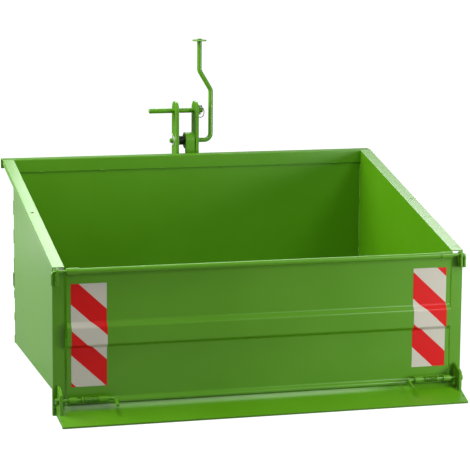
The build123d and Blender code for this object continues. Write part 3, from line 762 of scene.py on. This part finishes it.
class BOX_OT_welds(bpy.types.Operator):
    """Run the weld beads of the box, the tailgate and the hitch frame"""
    bl_idname = "tipbox.welds"
    bl_label = "Weld beads"

    def execute(self, context):
        s, tree = context.scene.tipbox_weld, weld_tree()
        for name, body, width, slot, runs in (
                ("box_welds", "box", s.width, "box_paint", self.box_runs(s)),
                ("tailgate_welds", "tailgate", s.width, "gate_paint", self.tailgate_runs()),
                ("frame_welds", "hitch_frame", s.heavy_width, "frame_paint", self.frame_runs())):
            path = bpy.data.meshes.new(name + "_path")
            points = [Vector(p) for run in runs for p in run]
            path.from_pydata(points, [(i, i + 1) for i in range(0, len(points), 2)], [])
            plain_mesh(name, path, [("Width", width), ("Seed", s.seed), ("Finish", stock("Weld coat"))],
                       body, stock("Weld coat"), slot, tree=tree)
        return {"FINISHED"}

    def box_runs(self, s):
        runs = []
        floor_low, floor_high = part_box("floor_sheet")
        back_low, back_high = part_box("back_wall")
        lip_low, lip_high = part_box("scraper_lip")
        stiff_low, stiff_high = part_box("back_stiffener")
        strip_low, strip_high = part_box("back_rim_strip")
        front, rear = floor_low.y, floor_high.y
        for side in (-1, 1):
            wall = side * floor_high.x
            runs += stitches((wall, rear, floor_high.z + 0.01), (wall, rear, back_high.z - 0.06),
                             s.stitch * 3, 0.03)
            runs += stitches((wall, front + 0.02, floor_high.z), (wall, rear, floor_high.z),
                             s.stitch, 0.08)
            outer = wall + side * 0.003
            runs += stitches((outer, rear + 0.002, floor_low.z), (outer, rear + 0.002, stiff_low.z - 0.01),
                             s.stitch, 0.06)
            runs += stitches((outer, rear + 0.002, stiff_high.z + 0.01),
                             (outer, rear + 0.002, back_high.z - 0.05), s.stitch, 0.06)
            ear_low, ear_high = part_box("hinge_ear_" + ("left" if side < 0 else "right"))
            for x in (ear_low.x, ear_high.x):
                runs.append(((x, front, ear_low.z + 0.003), (x, front, ear_high.z - 0.006)))
            ear_low, ear_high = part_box("latch_ear_" + ("left" if side < 0 else "right"))
            near = ear_low.x if side > 0 else ear_high.x
            slope = (floor_low.z - lip_low.z - 0.0075) / (front - lip_low.y)
            runs.append(((near, front, floor_low.z + 0.004), (near, front, ear_high.z - 0.006)))
            runs.append(((near, front, floor_low.z),
                         (near, ear_low.y + 0.003, floor_low.z - slope * (front - ear_low.y - 0.003))))
            x = side * (lip_high.x - 0.006)
            runs.append(((x, front - 0.004, floor_low.z - 0.011),
                         (x, lip_low.y * 0.72 + front * 0.28, lip_low.z * 0.55 + floor_low.z * 0.38)))
            runs.append(((side * abs(near), front - 0.001, floor_low.z - 0.006),
                         (side * 0.738, front - 0.001, floor_low.z - 0.006)))
        runs += stitches((floor_low.x, rear, floor_high.z), (floor_high.x, rear, floor_high.z),
                         s.stitch, 0.09)
        for z in (stiff_low.z, stiff_high.z):
            runs += stitches((stiff_low.x, stiff_low.y, z), (stiff_high.x, stiff_low.y, z), s.stitch, 0.11)
        runs += stitches((strip_low.x + 0.1, strip_low.y + 0.001, strip_low.z),
                         (strip_high.x - 0.1, strip_low.y + 0.001, strip_low.z), 0.012, 0.22)
        runs += stitches((-0.6, lip_high.y, floor_low.z - 0.001), (0.6, lip_high.y, floor_low.z - 0.001),
                         s.stitch, 0.10)
        for x in (-0.48, -0.12, 0.12, 0.48):
            for side in (-1, 1):
                edge = x + side * 0.020
                runs += stitches((edge, -0.46, floor_low.z), (edge, 0.41, floor_low.z), s.stitch, 0.12)
        low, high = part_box("striker_bar")
        runs.append(((low.x, low.y + 0.0015, low.z + 0.003), (high.x, low.y + 0.0015, low.z + 0.003)))
        return runs

    def tailgate_runs(self):
        runs = []
        for side in ("left", "right"):
            low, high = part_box("latch_bracket_" + side)
            for x in (low.x, high.x):
                runs.append(((x, high.y, low.z + 0.006), (x, high.y, high.z - 0.008)))
            low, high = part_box("hinge_knuckle_" + side)
            middle = (low.z + high.z) / 2
            runs.append(((low.x + 0.004, high.y - 0.0045, middle - 0.0105),
                         (high.x - 0.004, high.y - 0.0045, middle - 0.0105)))
        low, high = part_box("tailgate_top_tube")
        runs += stitches((low.x + 0.02, high.y + 0.0005, (low.z + high.z) / 2 + 0.006),
                         (high.x - 0.02, high.y + 0.0005, (low.z + high.z) / 2 + 0.006), 0.03, 0.12)
        return runs

    def frame_runs(self):
        runs = []
        sill_low, sill_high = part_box("rear_sill")
        beam_low, beam_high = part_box("link_beam")
        for side in ("left", "right"):
            low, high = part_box("mast_plate_" + side)
            runs += outline(low, high, sill_high.z)
            for x in (low.x, high.x):
                runs += [((x, beam_low.y, beam_low.z), (x, beam_low.y, beam_high.z))]
            low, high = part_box("tip_arm_" + side)
            for x in (low.x, high.x):
                runs.append(((x, sill_low.y, 0.006), (x, sill_low.y, 0.036)))
            runs.append(((low.x + 0.002, sill_low.y, high.z), (high.x - 0.002, sill_low.y, high.z)))
            sign = -1 if side == "left" else 1
            pad_low, pad_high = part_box("rest_pads")
            x0, x1 = sorted((sign * 0.235, sign * 0.285))
            runs += outline(Vector((x0, pad_low.y, 0)), Vector((x1, pad_high.y, 0)), pad_low.z)
            post_low, post_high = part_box("frame_side_posts")
            x0, x1 = sorted((sign * post_high.x, sign * (post_high.x - 0.05)))
            runs += outline(Vector((x0, post_low.y, 0)), Vector((x1, post_high.y, 0)), sill_high.z)
            for z in (beam_low.z, beam_high.z):
                runs.append(((x0, beam_low.y, z), (x1, beam_low.y, z)))
            x = sign * beam_high.x
            runs += [((x, beam_low.y, beam_low.z), (x, beam_low.y, beam_high.z)),
                     ((x, beam_high.y, beam_low.z), (x, beam_high.y, beam_high.z)),
                     ((x, beam_low.y, beam_high.z), (x, beam_high.y, beam_high.z)),
                     ((x, beam_low.y, beam_low.z), (x, beam_high.y, beam_low.z))]
            pin_low, pin_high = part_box("lower_link_pin_" + side)
            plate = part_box("link_plates")[1].x * sign
            y, z = (pin_low.y + pin_high.y) / 2, (pin_low.z + pin_high.z) / 2
            radius = (pin_high.z - pin_low.z) / 2 + 0.001
            ring = [(plate, y + radius * math.cos(a), z + radius * math.sin(a))
                    for a in np.linspace(0, 2 * math.pi, 17)]
            runs += list(zip(ring, ring[1:]))
        return runs


class BOX_OT_stage(bpy.types.Operator):
    """Set the pale floor, the soft lights and the camera"""
    bl_idname = "tipbox.stage"
    bl_label = "Stage"

    def execute(self, context):
        s = context.scene.tipbox_stage
        scene = context.scene
        scene.view_settings.view_transform = "Standard"
        world = bpy.data.worlds.new("White room")
        scene.world = world
        world.use_nodes = True
        nodes, join = world.node_tree.nodes, world.node_tree.links.new
        room, backdrop = nodes["Background"], nodes.new("ShaderNodeBackground")
        for background, strength in ((room, s.sky), (backdrop, s.backdrop)):
            background.inputs["Color"].default_value = (1, 1, 1, 1)
            background.inputs["Strength"].default_value = strength
        seen, mix = nodes.new("ShaderNodeLightPath"), nodes.new("ShaderNodeMixShader")
        join(seen.outputs["Is Camera Ray"], mix.inputs["Fac"])
        join(room.outputs["Background"], mix.inputs[1])
        join(backdrop.outputs["Background"], mix.inputs[2])
        join(mix.outputs["Shader"], nodes["World Output"].inputs["Surface"])

        mesh = bpy.data.meshes.new("floor")
        r = 30.0
        mesh.from_pydata([(-r, -r, 0), (r, -r, 0), (r, r, 0), (-r, r, 0)], [], [(0, 1, 2, 3)])
        floor = bpy.data.objects.new("floor", mesh)
        scene.collection.objects.link(floor)
        material, tree, shader, place = surface("Pale floor")
        shader.inputs["Base Color"].default_value = (0.26, 0.26, 0.26, 1)
        shader.inputs["Roughness"].default_value = 0.9
        shader.inputs["Specular IOR Level"].default_value = 0.1
        glow, mix = tree.nodes.new("ShaderNodeEmission"), tree.nodes.new("ShaderNodeMixShader")
        glow.inputs["Strength"].default_value = s.backdrop
        seen = tree.nodes.new("ShaderNodeLightPath").outputs["Is Camera Ray"]
        tree.links.new(combine(tree, "MULTIPLY", seen, 0.6), mix.inputs["Fac"])
        tree.links.new(shader.outputs["BSDF"], mix.inputs[1])
        tree.links.new(glow.outputs["Emission"], mix.inputs[2])
        tree.links.new(mix.outputs["Shader"], tree.nodes["Material Output"].inputs["Surface"])
        mesh.materials.append(material)

        self.lamp(scene, "overhead", (-1.3, -0.8, 3.3), (0, 0, 0.3), 1.6, 1.4, 76)
        self.lamp(scene, "front_right", (2.3, -3.3, 2.6), (0.0, -0.5, 0.2), 1.1, 1.1, 50)
        self.lamp(scene, "near_right", (2.4, -2.0, 0.5), (0.3, -0.5, 0.3), 0.9, 0.7, 50)
        self.lamp(scene, "left", (-4.0, 0.9, 2.6), (0.0, 0.2, 0.3), 2.2, 2.2, 240)
        self.lamp(scene, "behind", (1.0, 2.3, 2.8), (0.0, -0.4, 0.5), 2.7, 0.9, 62)
        self.lamp(scene, "low_left", (-1.9, 2.4, 0.25), (-0.7, -0.1, 0.1), 1.3, 0.6, 4)

        e, c = math.sin, math.cos
        look = Vector((e(s.yaw) * c(s.pitch), c(s.yaw) * c(s.pitch), -e(s.pitch)))
        right = Vector((c(s.yaw), -e(s.yaw), 0))
        up = right.cross(look)
        across_view = right * c(s.roll) + up * e(s.roll)
        up_view = up * c(s.roll) - right * e(s.roll)
        data = bpy.data.cameras.new("camera")
        data.lens, data.sensor_width = s.lens, 36.0
        data.clip_start, data.clip_end = 0.1, 100
        camera = bpy.data.objects.new("camera", data)
        scene.collection.objects.link(camera)
        camera.matrix_world = Matrix.Translation(s.eye) @ Matrix(
            (across_view, up_view, -look)).transposed().to_4x4()
        scene.camera = camera
        return {"FINISHED"}

    def lamp(self, scene, name, place, target, width, height, power):
        data = bpy.data.lights.new(name, "AREA")
        data.shape, data.size, data.size_y, data.energy = "RECTANGLE", width, height, power
        lamp = bpy.data.objects.new(name, data)
        scene.collection.objects.link(lamp)
        lamp.visible_camera = False
        lamp.location = place
        lamp.rotation_euler = (Vector(target) - Vector(place)).to_track_quat("-Z", "Y").to_euler()


class BOX_PT_panel(bpy.types.Panel):
    """The box's settings and steps"""
    bl_label = "Tipping box"
    bl_idname = "BOX_PT_panel"
    bl_space_type = "VIEW_3D"
    bl_region_type = "UI"
    bl_category = "Box"

    def draw(self, context):
        layout = self.layout
        for label in SETTINGS:
            group = getattr(context.scene, label)
            box = layout.box()
            box.label(text=group.bl_rna.name)
            for prop in group.bl_rna.properties:
                if prop.identifier not in {"rna_type", "name"}:
                    box.prop(group, prop.identifier)
        for step in STEPS:
            layout.operator(step.bl_idname)


SETTINGS = {"tipbox_paint": PaintSettings, "tipbox_sheet": SheetSettings, "tipbox_sticker": StickerSettings,
            "tipbox_spring": SpringSettings, "tipbox_weld": WeldSettings, "tipbox_stage": StageSettings}
STEPS = (BOX_OT_finishes, BOX_OT_box_shell, BOX_OT_tailgate, BOX_OT_stickers, BOX_OT_hitch_frame,
         BOX_OT_catch, BOX_OT_springs, BOX_OT_welds, BOX_OT_stage)


def register():
    for cls in (*SETTINGS.values(), *STEPS, BOX_PT_panel):
        bpy.utils.register_class(cls)
    for label, cls in SETTINGS.items():
        setattr(bpy.types.Scene, label, PointerProperty(type=cls))


def unregister():
    for label in SETTINGS:
        delattr(bpy.types.Scene, label)
    for cls in (BOX_PT_panel, *STEPS, *SETTINGS.values()):
        bpy.utils.unregister_class(cls)


def main():
    register()
    for step in STEPS:
        area, name = step.bl_idname.split(".")
        getattr(getattr(bpy.ops, area), name)()


if __name__ == "__main__":
    main()
